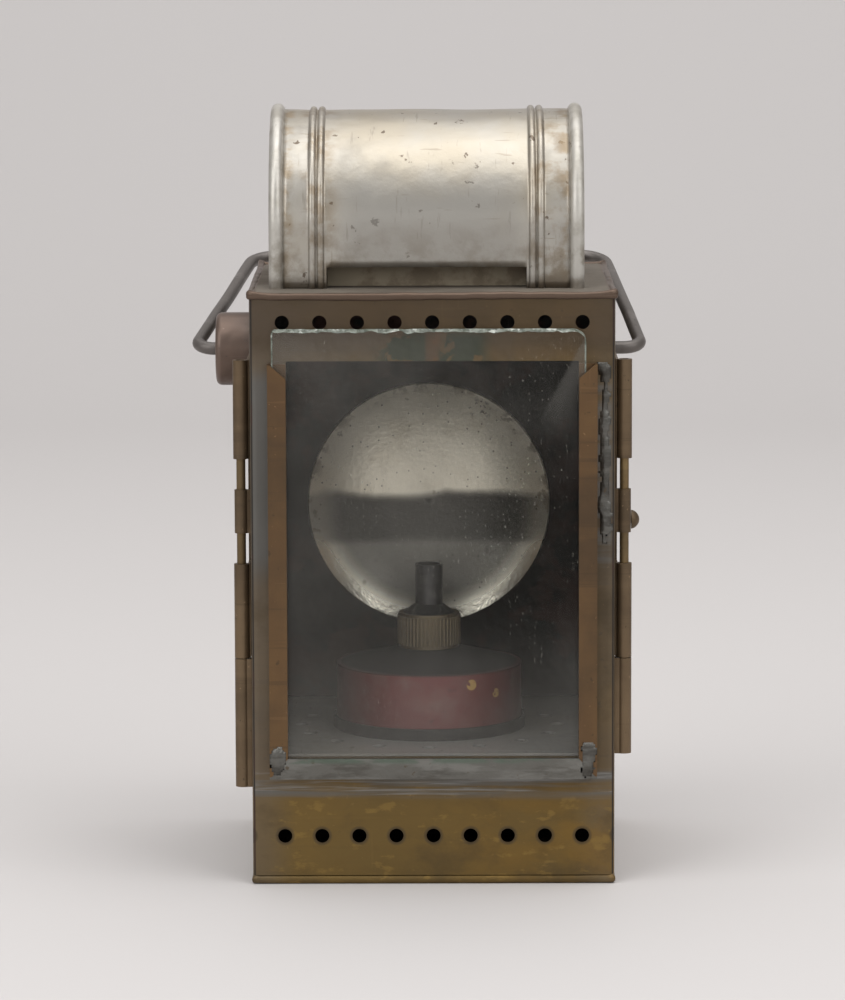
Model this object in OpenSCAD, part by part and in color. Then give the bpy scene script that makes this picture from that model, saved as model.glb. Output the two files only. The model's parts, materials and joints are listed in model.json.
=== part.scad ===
// Railroad hand lantern: a sheet brass case with a sliding front glass, two side doors,
// a tin hood over the chimney, a wire bail and an oil burner before a round reflector.
// The origin is the middle of the base, +Z is up and the glass faces -Y. Sizes are millimetres.

/* [Case] */
// Width of the case over its side walls
case_w = 120; // [112:1:140]
// Depth of the case from front wall to rear wall
case_d = 110; // [106:1:130]
// Height of the case walls over the table
case_h = 196; // [192:1:215]
// Thickness of the case sheet
wall = 0.8; // [0.6:0.1:1.2]
// Radius of the fold between the front and a side wall
fold_r = 2.4; // [1.6:0.1:4]
// Radius of the rolled seam of the base pan
base_roll_r = 1.5; // [1:0.1:1.8]
// Distance that the base seam stands proud of the walls
base_proud = 0.3; // [0:0.1:1]
// Radius of the rolled edge of the roof
roof_roll_r = 1.0; // [0.8:0.1:1.2]
// Air holes in a row
vent_count = 9; // [5:1:9]
// Distance between two air holes
vent_pitch = 12.3; // [11:0.1:12.5]
// Diameter of an air hole
vent_d = 4.7; // [3:0.1:6]
// Height of the lower row of air holes
vent_low_z = 16.3; // [12:0.1:22]
// Distance of the upper row of air holes below the roof
vent_drop = 8.8; // [6:0.1:11]

/* [Window] */
// Width of the window in the front wall
window_w = 96; // [84:1:98]
// Height of the window's lower edge
window_z = 43; // [42:1:50]
// Distance of the window's upper edge below the roof
window_drop = 21.5; // [18:0.5:40]
// Distance between the two glass channels
channel_w = 106.4; // [105:0.2:107]
// Width that the front glass has to spare between its channels
glass_play = 3.4; // [1:0.2:4]
// Distance that the front glass sits off the middle, against its left channel
glass_shift = 1.2; // [0:0.1:1.4]
// Height of the front glass over the window
glass_over = 11; // [6:0.5:14]
// Thickness of the front glass
glass_t = 2.4; // [2:0.1:3]
// Distance that the sill's shelf lies below the window
sill_drop = 6; // [4:0.5:8]
// Width of the channel lip over the glass
lip_w = 6; // [5:0.5:7.5]
// Height of the cut at the upper end of a channel lip
lip_cut = 4.5; // [2:0.5:8]

/* [Hood] */
// Length of the hood between its end rims
hood_l = 95; // [84:1:98]
// Depth of the hood from front to back
hood_d = 76; // [70:1:84]
// Height of the hood over the roof
hood_h = 57; // [52:1:66]
// Distance that the hood sits to the left of the middle
hood_shift = 1.8; // [0:0.1:2]
// Radius of the rolled rim of a hood end
hood_rim_r = 2.3; // [1.8:0.1:2.6]
// Radius of a bead on the hood
bead_r = 1.2; // [0.8:0.1:1.4]
// Distance of a bead pair from the middle of the hood
bead_x = 36.4; // [36:0.1:38]
// Distance between the two beads of a pair
bead_pitch = 2.8; // [2.5:0.1:3.2]
// Length of the slot under the hood
slot_l = 66; // [50:1:67]
// Height of the slot under the hood
slot_h = 7; // [4:0.5:9]
// Depth of the chimney duct
duct_d = 56; // [40:1:60]
// Height of the chimney duct over the roof
duct_h = 30; // [20:1:36]

/* [Side doors] */
// Gap between the pivot drum and the upper edge of a door
drum_over = 1.9; // [1:0.1:8]
// Height of a door plate
door_h = 83.6; // [78:0.2:85]
// Height of the hinge ear over the door plate
ear_h = 15.5; // [10:0.5:16]
// Length of the hinge ear along the case
ear_l = 20; // [10:1:30]
// Distance of the hinge line behind the front wall
hinge_inset = 7; // [6:0.5:10]
// Radius of the hinge pin
pin_r = 1.5; // [1.2:0.1:1.8]
// Radius of a hinge knuckle
knuckle_r = 2.5; // [2.2:0.1:2.8]
// Distance of the opening behind the hinge line
door_lead = 12; // [11:0.5:16]
// Width of the opening behind a door
door_gap_w = 72; // [60:1:74]
// Height of the opening behind a door
door_gap_h = 74; // [60:1:75]
// Overlap of the door plate past the opening at the rear
door_lap = 4; // [2:0.5:6]
// Depth of the notch in the hinge edge behind the hinge line
notch_d = 8; // [4:0.5:10]
// Height of the notch in the hinge edge
notch_h = 35; // [24:1:40]
// Height of the notch over the door's lower edge
notch_z = 31.4; // [28:0.2:36]
// Height of the case eyelet in the notch
eyelet_h = 14.4; // [10:0.2:18]
// Length of the right lower hinge sleeve
right_sleeve_l = 32; // [20:1:36]
// Length of the left lower hinge sleeve
left_sleeve_l = 43; // [20:1:44]
// Distance of the door knob from the door's rear edge
knob_inset = 10; // [6:0.5:20]
// Diameter of the door knob's dome
knob_d = 6.7; // [5:0.1:9]
// Reach of the door knob over the door plate
knob_reach = 10.3; // [8:0.1:14]

/* [Bail] */
// Diameter of the bail wire
wire_d = 4.3; // [3:0.1:5]
// Length of the bail from its pivot line to its grip
bail_l = 95; // [92:1:110]
// Width of the bail at the grip
grip_w = 124; // [118:1:128]
// Distance that the grip sits to the left of the middle
grip_shift = 1.2; // [0:0.1:2]
// Reach of the left foot from the middle
left_foot_x = 80.5; // [78:0.5:86]
// Reach of the right foot from the middle
right_foot_x = 71; // [70:0.5:84]
// Distance of the pivot line below the roof
pivot_drop = 23; // [21:0.5:25]
// Angle of the stored bail behind upright
bail_lean = 76; // [70:1:82]
// Bend radius of the bail's grip corners
grip_bend = 10; // [6:0.5:14]
// Bend radius of the bail's feet
foot_bend = 6; // [4:0.5:8]
// Diameter of the copper pivot drum
drum_d = 24.6; // [18:0.2:25]
// Distance from the pivot drum's face to the middle of the bail's leg
drum_gap = 7.5; // [6.5:0.5:9]

/* [Burner and reflector] */
// Distance that the burner and the reflector sit to the left of the middle
lamp_shift = 1.4; // [0:0.1:2]
// Height of the shelf under the fount
shelf_z = 43; // [40:0.5:43]
// Distance of the shelf's air holes from the fount
air_ring = 12; // [8:0.5:12]
// Height of the ring round the fount
ring_h = 4; // [2:0.5:8]
// Radius of the fount
fount_r = 31.5; // [26:0.5:33]
// Height of the fount's side
fount_h = 22; // [16:0.5:28]
// Height of the fount's domed top
dome_h = 5; // [3:0.5:8]
// Radius of the knurled collar
collar_r = 10.8; // [9:0.1:12]
// Height of the knurled collar
collar_h = 12; // [9:0.5:14]
// Ridges of the knurled collar
knurl_count = 48; // [24:1:60]
// Radius of the burner tube
tube_r = 4.7; // [4.5:0.1:7]
// Height of the burner tube over the collar
tube_h = 16.5; // [12:0.5:22]
// Radius of the wick
wick_r = 3.4; // [2.8:0.1:3.6]
// Radius of the reflector
dish_r = 42; // [34:0.5:44]
// Depth of the reflector
dish_depth = 12; // [8:0.5:13]
// Height of the reflector's middle
dish_z = 115.1; // [112:0.1:122]
// Gap between the reflector and the rear wall
dish_gap = 6; // [5:0.5:8]

/* [Hidden] */
$fn = 48;
// Running clearance of a pin in its bore
run_gap = 0.05;
// Clearance between a sliding or swinging piece and what it passes
pass_gap = 0.3;
// Thickness of the tin sheet of hood, shelf and reflector
tin = 0.8;
// Smallest overlap that joins two shapes of one piece
join = 0.2;
// Sides of the bail's wire and steps in each of its bends
wire_sides = 16;
bend_steps = 6;

half_w = case_w / 2;
half_d = case_d / 2;
roof_top = case_h + wall;
wall_z = 2 * base_roll_r;
front_y = -half_d;
vent_top_z = case_h - vent_drop;

// Glass slot: a back leaf, the glass with its clearance, and the front lip
window_h = case_h - window_drop - window_z;
glass_w = channel_w - glass_play;
glass_back_y = front_y - wall - pass_gap;
lip_back_y = glass_back_y - glass_t - pass_gap;
channel_in_x = channel_w / 2;
channel_out_x = channel_in_x + wall;
sill_z = window_z - sill_drop;
lip_in_x = channel_out_x - lip_w;
channel_top = window_z + window_h - wall;
glass_h = window_h + sill_drop + glass_over;

// Hood arch: straight sides below a half round
hood_r = hood_d / 2;
arch_z = roof_top + hood_h - hood_r;

// Bail pivot
pivot_z = case_h - pivot_drop;
drum_l = left_foot_x - half_w - drum_gap;
foot_bore_r = wire_d / 2 + run_gap;

// Side doors: the plate lies just off the wall, the hinge line beside its front edge
door_top = pivot_z - drum_d / 2 - drum_over;
door_z = door_top - door_h;
door_in_x = half_w + pass_gap;
hinge_x = half_w + 0.7 + knuckle_r;
hinge_y = front_y + hinge_inset;
door_gap_y = hinge_y + door_lead;
door_back_y = door_gap_y + door_gap_w + door_lap;
door_gap_z = door_z + 5;
knuckle_top = door_top + ear_h;
notch_low = door_z + notch_z;
knob_y = door_back_y - knob_inset;
knob_z = door_z + notch_z + 3.5;

// Burner stack and reflector
fount_z = shelf_z + wall;
collar_z = fount_z + fount_h + dome_h;
tube_z = collar_z + collar_h;
dish_back_y = half_d - wall - dish_gap;
dish_sphere_r = (dish_r * dish_r + dish_depth * dish_depth) / (2 * dish_depth);
bracket_h = 10;

BRASS = "darkgoldenrod";
COPPER = "sienna";
TIN = "silver";
STEEL = "dimgray";

// A box between two corners
module block(low, high) {
    translate(low) cube(high - low);
}

// A rolled edge: four rods round a rectangle with a ball at each corner
module rolled_edge(half_x, half_y, z, r) {
    for (side = [-1, 1]) {
        translate([-half_x, side * half_y, z]) rotate([0, 90, 0]) cylinder(h = 2 * half_x, r = r);
        translate([side * half_x, -half_y, z]) rotate([-90, 0, 0]) cylinder(h = 2 * half_y, r = r);
        for (end = [-1, 1])
            translate([side * half_x, end * half_y, z]) sphere(r = r);
    }
}

// Air holes along X, drilled through Y, from a height
module vent_row_front(z) {
    for (i = [0 : vent_count - 1])
        translate([(i - (vent_count - 1) / 2) * vent_pitch, front_y - 1, z])
            rotate([-90, 0, 0]) cylinder(h = wall + 2, d = vent_d);
}

// Air holes through both side walls, two fewer than in the front
module vent_row_sides(z) {
    for (i = [0 : vent_count - 3])
        translate([-half_w - 1, (i - (vent_count - 3) / 2) * vent_pitch, z])
            rotate([0, 90, 0]) cylinder(h = case_w + 2, d = vent_d);
}

// Outline of the case with its two folded corners, inside its walls by an inset
module case_outline(inset, rear_y) {
    deep = rear_y - front_y;
    translate([-half_w + fold_r, front_y + inset]) square([case_w - 2 * fold_r, deep - inset]);
    translate([-half_w + inset, front_y + fold_r]) square([case_w - 2 * inset, deep - fold_r]);
    for (side = [-1, 1])
        translate([side * (half_w - fold_r), front_y + fold_r]) circle(r = fold_r - inset);
}

// Front and sides of the case, folded from one sheet
module case_shell() {
    color(BRASS) difference() {
        translate([0, 0, wall_z]) linear_extrude(case_h - wall_z) case_outline(0, half_d);
        linear_extrude(case_h + 1) case_outline(wall, half_d + 1);
        block([-window_w / 2, front_y - 1, window_z], [window_w / 2, front_y + wall + 1, window_z + window_h]);
        block([-half_w - 1, door_gap_y, door_gap_z],
              [half_w + 1, door_gap_y + door_gap_w, door_gap_z + door_gap_h]);
        vent_row_front(vent_low_z);
        vent_row_front(vent_top_z);
        vent_row_sides(vent_low_z);
        translate([-half_w - 1, 0, pivot_z]) rotate([0, 90, 0]) cylinder(h = case_w + 2, r = foot_bore_r);
    }
}

// Plate that closes the back of the case between the side walls
module rear_wall() {
    color(BRASS)
        block([-half_w + wall, half_d - wall, wall_z], [half_w - wall, half_d, case_h]);
}

// Bottom plate with the rolled seam that the walls stand on
module base_pan() {
    seam_x = half_w - base_roll_r + base_proud;
    seam_y = half_d - base_roll_r + base_proud;
    color(BRASS) {
        block([-seam_x - join, -seam_y - join, 0], [seam_x + join, seam_y + join, wall]);
        rolled_edge(seam_x, seam_y, base_roll_r, base_roll_r);
    }
}

// Roof with its rolled edge and the hole of the chimney
module roof_plate() {
    color(BRASS) difference() {
        union() {
            block([-half_w, -half_d, case_h], [half_w, half_d, roof_top]);
            rolled_edge(half_w - join, half_d - join, roof_top - roof_roll_r, roof_roll_r);
        }
        block([-half_w, -half_d, 0], [half_w, half_d, case_h]);
        translate([-hood_shift, 0, 0])
            block([-slot_l / 2 + tin, -duct_d / 2 + tin, case_h - 1],
                  [slot_l / 2 - tin, duct_d / 2 - tin, roof_top + 1]);
    }
}

// Rectangular duct that carries the smoke up into the hood
module chimney_duct() {
    color(STEEL) translate([-hood_shift, 0, 0]) difference() {
        block([-slot_l / 2, -duct_d / 2, roof_top], [slot_l / 2, duct_d / 2, roof_top + duct_h]);
        block([-slot_l / 2 + tin, -duct_d / 2 + tin, roof_top - 1],
              [slot_l / 2 - tin, duct_d / 2 - tin, roof_top + duct_h + 1]);
    }
}

// Arch outline in the YZ plane, grown by an amount: a half round on straight sides
module arch_outline(grow) {
    side_h = arch_z - roof_top;
    reach = hood_r + grow;
    intersection() {
        translate([0, side_h]) circle(r = reach);
        translate([-reach, side_h - join]) square([2 * reach, 2 * reach]);
    }
    translate([-reach, 0]) square([2 * reach, side_h]);
}

// Stand an outline of Y and Z up along X, from one x to another
module along_x(from, to) {
    translate([from, 0, roof_top]) rotate([90, 0, 90]) linear_extrude(to - from) children();
}

// A bead that runs over the arch at one place along the hood
module arch_bead(x, r, arch_r) {
    translate([x, 0, arch_z]) rotate([0, 90, 0]) rotate([0, 0, 90])
        rotate_extrude(angle = 180) translate([arch_r, 0]) circle(r = r);
    for (side = [-1, 1])
        translate([x, side * arch_r, roof_top]) cylinder(h = arch_z - roof_top, r = r);
}

// Tin arch over the chimney, with its beads and the slots under its long edges
module hood_shell() {
    color(TIN) translate([-hood_shift, 0, 0]) difference() {
        union() {
            along_x(-hood_l / 2, hood_l / 2) arch_outline(0);
            for (side = [-1, 1], k = [-1, 1])
                arch_bead(side * bead_x + k * bead_pitch / 2, bead_r, hood_r);
        }
        along_x(-hood_l / 2 - 1, hood_l / 2 + 1) {
            arch_outline(-tin);
            translate([-hood_r + tin, -1]) square([hood_d - 2 * tin, 2]);
        }
        block([-slot_l / 2, -hood_r - 3, roof_top - 1], [slot_l / 2, hood_r + 3, roof_top + slot_h]);
    }
}

// Plate that closes one end of the hood, with its rolled rim
module hood_end(side) {
    inner = side * hood_l / 2;
    outer = inner + side * 2 * hood_rim_r;
    color(TIN) translate([-hood_shift, 0, 0]) intersection() {
        union() {
            along_x(min(inner, inner + side * tin), max(inner, inner + side * tin)) arch_outline(0);
            arch_bead((inner + outer) / 2, hood_rim_r, hood_r - 0.4);
        }
        block([min(inner, outer), -hood_d, roof_top], [max(inner, outer), hood_d, roof_top + 2 * hood_h]);
    }
}

// Stand an outline of X and Z up as the sheet that lies before the glass
module front_sheet() {
    translate([0, lip_back_y, 0]) rotate([90, 0, 0]) linear_extrude(wall) children();
}

// Front face of the sill, mitred to the channel lips at both ends, grown by an amount
module sill_outline(grow) {
    polygon([[-channel_out_x - grow, sill_z - wall], [channel_out_x + grow, sill_z - wall],
             [lip_in_x + grow, window_z + grow], [-lip_in_x - grow, window_z + grow]]);
}

// Folded channel that holds one upright edge of the glass
module glass_channel(side) {
    color(COPPER) mirror([side < 0 ? 1 : 0, 0, 0]) difference() {
        union() {
            block([window_w / 2, front_y - wall, sill_z], [channel_out_x, front_y, channel_top]);
            block([channel_in_x, lip_back_y - wall, sill_z], [channel_out_x, front_y - wall, channel_top]);
            front_sheet()
                polygon([[lip_in_x, sill_z], [channel_out_x, sill_z], [channel_out_x, channel_top],
                         [channel_in_x, channel_top], [lip_in_x, channel_top - lip_cut]]);
        }
        front_sheet() sill_outline(run_gap);
    }
}

// Folded rail that the glass stands in
module glass_sill() {
    color(STEEL) {
        block([-channel_out_x, lip_back_y - wall, sill_z - wall], [channel_out_x, front_y, sill_z]);
        front_sheet() sill_outline(0);
    }
}

// Pane that slides up out of its channels
module front_glass() {
    color("lightcyan", 0.4)
        translate([-glass_shift, 0, 0])
            block([-glass_w / 2, glass_back_y - glass_t, sill_z], [glass_w / 2, glass_back_y, sill_z + glass_h]);
}

// Side door: flat plate with its front edge rolled into two hinge knuckles
module door_right_form() {
    color(BRASS) difference() {
        union() {
            block([door_in_x, hinge_y, door_z], [door_in_x + wall, door_back_y, door_top]);
            block([door_in_x, hinge_y, door_top - join], [door_in_x + wall, hinge_y + ear_l, knuckle_top]);
            translate([hinge_x, hinge_y, door_z]) cylinder(h = knuckle_top - door_z, r = knuckle_r);
        }
        translate([hinge_x, hinge_y, door_z - 1]) cylinder(h = knuckle_top - door_z + 2, r = pin_r + run_gap);
        block([half_w, hinge_y - 2 * knuckle_r, notch_low],
              [hinge_x + 2 * knuckle_r, hinge_y + notch_d, notch_low + notch_h]);
    }
}

// Mushroom knob on the right door
module door_knob() {
    dome_r = knob_d / 2;
    dome_t = 2.8;
    color(COPPER) translate([door_in_x + wall, knob_y, knob_z]) rotate([0, 90, 0]) {
        cylinder(h = knob_reach - dome_t, r = 1.4);
        translate([0, 0, knob_reach - dome_t]) intersection() {
            translate([0, 0, dome_t - dome_r]) sphere(r = dome_r);
            cylinder(h = dome_r, r = dome_r);
        }
    }
}

// Hinge pin, standing in the lower sleeve
module hinge_pin(side, sleeve_l) {
    color(BRASS) translate([side * hinge_x, hinge_y, door_z - pass_gap - sleeve_l + 2])
        cylinder(h = knuckle_top - door_z + pass_gap + sleeve_l - 3, r = pin_r);
}

// Sleeve round the pin with a leaf that is soldered to the side wall
module pin_sleeve(side, low, length, r) {
    mirror([side < 0 ? 1 : 0, 0, 0]) difference() {
        union() {
            translate([hinge_x, hinge_y, low]) cylinder(h = length, r = r);
            block([half_w, hinge_y - 2, low], [hinge_x - pin_r / 2, hinge_y + 2, low + length]);
        }
        translate([hinge_x, hinge_y, low + 2]) cylinder(h = length, r = pin_r + run_gap);
    }
}

// Eyelet of the case in the notch of the door's hinge edge
module hinge_eyelet(side) {
    low = notch_low + (notch_h - eyelet_h) / 2;
    color(BRASS) mirror([side < 0 ? 1 : 0, 0, 0]) difference() {
        union() {
            translate([hinge_x, hinge_y, low]) cylinder(h = eyelet_h, r = knuckle_r - 0.3);
            block([half_w, hinge_y - 1, low], [hinge_x - pin_r / 2, hinge_y + 1, low + eyelet_h]);
        }
        translate([hinge_x, hinge_y, low - 1]) cylinder(h = eyelet_h + 2, r = pin_r + run_gap);
    }
}

// Lower sleeve that the hinge pin stands in
module hinge_sleeve(side, length) {
    color(BRASS) pin_sleeve(side, door_z - pass_gap - length, length, knuckle_r);
}

// Direction from one point to the next, as a unit vector
function unit(v) = v / norm(v);
// Angle of a direction in the XZ plane, and the normal to its left
function way_angle(v) = atan2(v[1], v[0]);
function left_of(angle) = [-sin(angle), cos(angle)];
// Rings of a bend between three points: each has its middle and the direction of the wire
function bend_rings(a, b, c, bend) =
    let (in_way = unit(b - a), out_way = unit(c - b),
         turn = acos(in_way * out_way),
         hand = sign(in_way[0] * out_way[1] - in_way[1] * out_way[0]),
         first = way_angle(in_way),
         middle = b - in_way * bend * tan(turn / 2) + hand * bend * left_of(first))
    [for (k = [0 : bend_steps])
        let (angle = first + hand * turn * k / bend_steps)
        [middle - hand * bend * left_of(angle), angle]];
// All rings of a wire along points in the XZ plane, with a bend at each inner point
function wire_rings(points, bends) =
    let (last = len(points) - 1)
    concat([[points[0], way_angle(points[1] - points[0])]],
           [for (i = [1 : last - 1], ring = bend_rings(points[i - 1], points[i], points[i + 1], bends[i])) ring],
           [[points[last], way_angle(points[last] - points[last - 1])]]);

// Round wire along points in the XZ plane
module bent_wire(points, bends, r) {
    rings = wire_rings(points, bends);
    n = wire_sides;
    end = (len(rings) - 1) * n;
    corners = [for (ring = rings, j = [0 : n - 1])
        let (out = r * cos(360 * j / n) * left_of(ring[1]))
        [ring[0][0] + out[0], r * sin(360 * j / n), ring[0][1] + out[1]]];
    sides = [for (i = [0 : len(rings) - 2], j = [0 : n - 1])
        let (a = i * n + j, b = i * n + (j + 1) % n)
        each [[a, b, b + n], [a, b + n, a + n]]];
    caps = [for (j = [1 : n - 2]) each [[0, j + 1, j], [end, end + j, end + j + 1]]];
    polyhedron(corners, concat(sides, caps));
}

// Carrying bail, leaning back from its pivot line
module bail() {
    foot_in = half_w - wall - 2;
    color(STEEL) translate([0, 0, pivot_z]) rotate([-bail_lean, 0, 0])
        bent_wire([[-foot_in, 0], [-left_foot_x, 0], [-grip_w / 2 - grip_shift, bail_l],
                   [grip_w / 2 - grip_shift, bail_l], [right_foot_x, 0], [foot_in, 0]],
                  [0, foot_bend, grip_bend, grip_bend, foot_bend, 0], wire_d / 2);
}

// Copper cup on the left wall that the bail's foot turns in
module pivot_drum() {
    edge = 2;
    color(COPPER) translate([-half_w, 0, pivot_z]) rotate([0, -90, 0]) difference() {
        rotate_extrude() {
            square([drum_d / 2, drum_l - edge]);
            square([drum_d / 2 - edge, drum_l]);
            translate([drum_d / 2 - edge, drum_l - edge]) intersection() {
                circle(r = edge);
                square(edge);
            }
        }
        translate([0, 0, -1]) cylinder(h = drum_l + 2, r = foot_bore_r);
    }
}

// Round dish behind the burner, a cap of a hollow ball
module reflector() {
    rim_angle = asin(dish_r / dish_sphere_r);
    color(TIN) translate([-lamp_shift, dish_back_y - dish_sphere_r, dish_z]) rotate([-90, 0, 0])
        rotate_extrude($fn = 96) intersection() {
            difference() {
                circle(r = dish_sphere_r, $fn = 96);
                circle(r = dish_sphere_r - tin, $fn = 96);
            }
            polygon([[0, 0], [2 * dish_sphere_r * sin(rim_angle), 2 * dish_sphere_r * cos(rim_angle)],
                     [0, 2 * dish_sphere_r]]);
        }
}

// Two strips from the rear wall that carry the reflector at its back
module reflector_brackets() {
    arm_x = 24;
    arm_w = 10;
    color(STEEL) translate([-lamp_shift, 0, 0]) difference() {
        for (side = [-1, 1])
            translate([side * arm_x - arm_w / 2, dish_back_y - dish_depth, dish_z - bracket_h / 2])
                cube([arm_w, half_d - wall - dish_back_y + dish_depth, bracket_h]);
        translate([0, dish_back_y - dish_sphere_r, dish_z]) sphere(r = dish_sphere_r + run_gap, $fn = 96);
    }
}

// Tin shelf between the side walls, with air holes round the fount
module burner_shelf() {
    flange = 6;
    color(TIN) difference() {
        union() {
            translate([0, 0, shelf_z]) linear_extrude(wall) case_outline(wall, half_d - wall);
            for (side = [-1, 1])
                block([side > 0 ? half_w - wall - tin : -half_w + wall, front_y + fold_r, shelf_z - flange],
                      [side > 0 ? half_w - wall : -half_w + wall + tin, half_d - wall, shelf_z]);
        }
        for (i = [0 : 15])
            translate([-lamp_shift, 0, shelf_z - 1]) rotate([0, 0, i * 22.5])
                translate([fount_r + air_ring, 0, 0]) cylinder(h = wall + 2, d = vent_d);
    }
}

// Ring on the shelf that keeps the fount in its place
module fount_ring() {
    color(TIN) translate([-lamp_shift, 0, fount_z]) difference() {
        cylinder(h = ring_h, r = fount_r + pass_gap + tin, $fn = 96);
        translate([0, 0, -1]) cylinder(h = ring_h + 2, r = fount_r + pass_gap, $fn = 96);
    }
}

// Squat oil fount with a domed top and a bore for the wick
module fount() {
    color("maroon") translate([-lamp_shift, 0, fount_z]) difference() {
        union() {
            cylinder(h = fount_h, r = fount_r, $fn = 96);
            translate([0, 0, fount_h]) cylinder(h = dome_h, r1 = fount_r - 1, r2 = collar_r, $fn = 96);
        }
        translate([0, 0, tin]) cylinder(h = fount_h - 2 * tin, r = fount_r - tin, $fn = 96);
        translate([0, 0, fount_h / 2]) cylinder(h = fount_h, r = wick_r + 0.5);
    }
}

// Knurled collar that turns on the fount
module burner_collar() {
    color(BRASS) translate([-lamp_shift, 0, collar_z + pass_gap]) difference() {
        union() {
            cylinder(h = collar_h - pass_gap, r = collar_r - 0.5);
            for (i = [0 : knurl_count - 1])
                rotate([0, 0, i * 360 / knurl_count]) translate([collar_r - 0.5, 0, 1])
                    cylinder(h = collar_h - 2 - pass_gap, r = 0.5, $fn = 16);
        }
        translate([0, 0, -1]) cylinder(h = collar_h + 2, r = wick_r + 0.5);
    }
}

// Burner tube with its conical foot on the collar
module burner_tube() {
    color(STEEL) translate([-lamp_shift, 0, tube_z]) difference() {
        union() {
            cylinder(h = tube_h, r = tube_r);
            cylinder(h = 3, r1 = collar_r - 2, r2 = tube_r);
        }
        translate([0, 0, -1]) cylinder(h = tube_h + 2, r = wick_r + 0.5);
    }
}

// Round wick from inside the fount to the mouth of the burner tube
module wick() {
    color("tan") translate([-lamp_shift, 0, fount_z + fount_h / 2 + 1])
        cylinder(h = tube_z + tube_h - fount_z - fount_h / 2 - 2, r = wick_r);
}

case_shell();
rear_wall();
base_pan();
roof_plate();
chimney_duct();
hood_shell();
hood_end(-1);  // hood_end_left
hood_end(1);  // hood_end_right
glass_channel(-1);  // glass_channel_left
glass_channel(1);  // glass_channel_right
glass_sill();
front_glass();
mirror([1, 0, 0]) door_right_form();  // door_left
door_right_form();  // door_right
door_knob();
hinge_pin(-1, left_sleeve_l);  // hinge_pin_left
hinge_pin(1, right_sleeve_l);  // hinge_pin_right
hinge_eyelet(-1);  // hinge_eyelet_left
hinge_eyelet(1);  // hinge_eyelet_right
hinge_sleeve(-1, left_sleeve_l);  // hinge_sleeve_left
hinge_sleeve(1, right_sleeve_l);  // hinge_sleeve_right
bail();
pivot_drum();
reflector();
reflector_brackets();
burner_shelf();
fount_ring();
fount();
burner_collar();
burner_tube();
wick();
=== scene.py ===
"""Looks of the railroad lantern: finishes, solder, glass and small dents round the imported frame."""

import json
import math

import bmesh
import bpy
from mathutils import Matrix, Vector, noise


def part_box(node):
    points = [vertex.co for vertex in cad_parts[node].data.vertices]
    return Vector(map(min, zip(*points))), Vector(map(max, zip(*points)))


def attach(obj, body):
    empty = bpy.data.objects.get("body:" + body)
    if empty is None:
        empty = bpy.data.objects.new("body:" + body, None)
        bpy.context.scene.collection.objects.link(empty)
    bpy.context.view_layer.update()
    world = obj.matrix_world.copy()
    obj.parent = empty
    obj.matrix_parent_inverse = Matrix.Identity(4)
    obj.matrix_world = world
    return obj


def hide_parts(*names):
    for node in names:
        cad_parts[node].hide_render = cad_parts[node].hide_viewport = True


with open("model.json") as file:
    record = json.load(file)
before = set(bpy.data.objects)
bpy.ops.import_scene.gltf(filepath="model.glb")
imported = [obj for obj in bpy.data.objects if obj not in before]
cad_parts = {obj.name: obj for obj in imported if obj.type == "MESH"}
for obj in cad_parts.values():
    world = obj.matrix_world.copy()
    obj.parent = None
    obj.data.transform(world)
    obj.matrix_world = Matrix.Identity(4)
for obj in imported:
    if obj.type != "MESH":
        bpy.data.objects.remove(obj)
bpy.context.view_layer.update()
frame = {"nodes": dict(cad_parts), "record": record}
nodes = frame["nodes"]
scene = bpy.context.scene
scene.view_settings.view_transform = "Standard"

# Camera, from the photograph: a long lens from a little above the lantern
IMAGE_H = 1000
FOCAL_PX = 4954
CAMERA_DISTANCE = 1.683
CAMERA_YAW = math.radians(0.17)
CAMERA_RISE = math.radians(7.78)
CAMERA_ROLL = math.radians(-0.18)
CAMERA_TARGET = Vector((-0.0035, 0, 0.1211))
SENSOR_H = 36
CLIP_END = 20


def add_camera():
    data = bpy.data.cameras.new("camera")
    data.sensor_fit = "VERTICAL"
    data.sensor_height = SENSOR_H
    data.lens = FOCAL_PX / IMAGE_H * SENSOR_H
    data.clip_end = CLIP_END
    camera = bpy.data.objects.new("camera", data)
    flat = math.cos(CAMERA_RISE)
    back = Vector((math.sin(CAMERA_YAW) * flat, -math.cos(CAMERA_YAW) * flat, math.sin(CAMERA_RISE)))
    camera.location = CAMERA_TARGET + back * CAMERA_DISTANCE
    turn = (-back).to_track_quat("-Z", "Y").to_euler()
    turn.rotate_axis("Z", CAMERA_ROLL)
    camera.rotation_euler = turn
    scene.collection.objects.link(camera)
    scene.camera = camera


# Stage: a pale floor that curves up into a backdrop, a soft world and five soft lamps
FLOOR_COLOUR = (0.585, 0.56, 0.548, 1)
FLOOR_ROUGHNESS = 0.7
FLOOR_HALF_W = 4
FLOOR_FRONT_Y = -3
FLOOR_BACK_Y = 1.2
BACKDROP_R = 0.9
BACKDROP_TOP = 4
BACKDROP_STEPS = 40
WORLD_COLOUR = (0.86, 0.86, 0.88, 1)
WORLD_STRENGTH = 0.33
LANTERN_MIDDLE = (0, 0, 0.12)
# Lamps by name, place, target, size in metres and power in watts
LAMPS = (
    ("key", (0.2, -0.5, 2.3), LANTERN_MIDDLE, (2.4, 1.3), 28),
    ("fill", (-1.4, -1.2, 1.2), LANTERN_MIDDLE, (1.6, 1.6), 19),
    ("side", (1.4, -1.2, 1.2), LANTERN_MIDDLE, (1.6, 1.6), 15),
    ("front", (0, -2.2, 0.55), LANTERN_MIDDLE, (1.6, 0.7), 3.2),
    ("top", (0, 0.7, 2.3), (0, 0, 0.1), (2.6, 1.6), 21),
)


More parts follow.
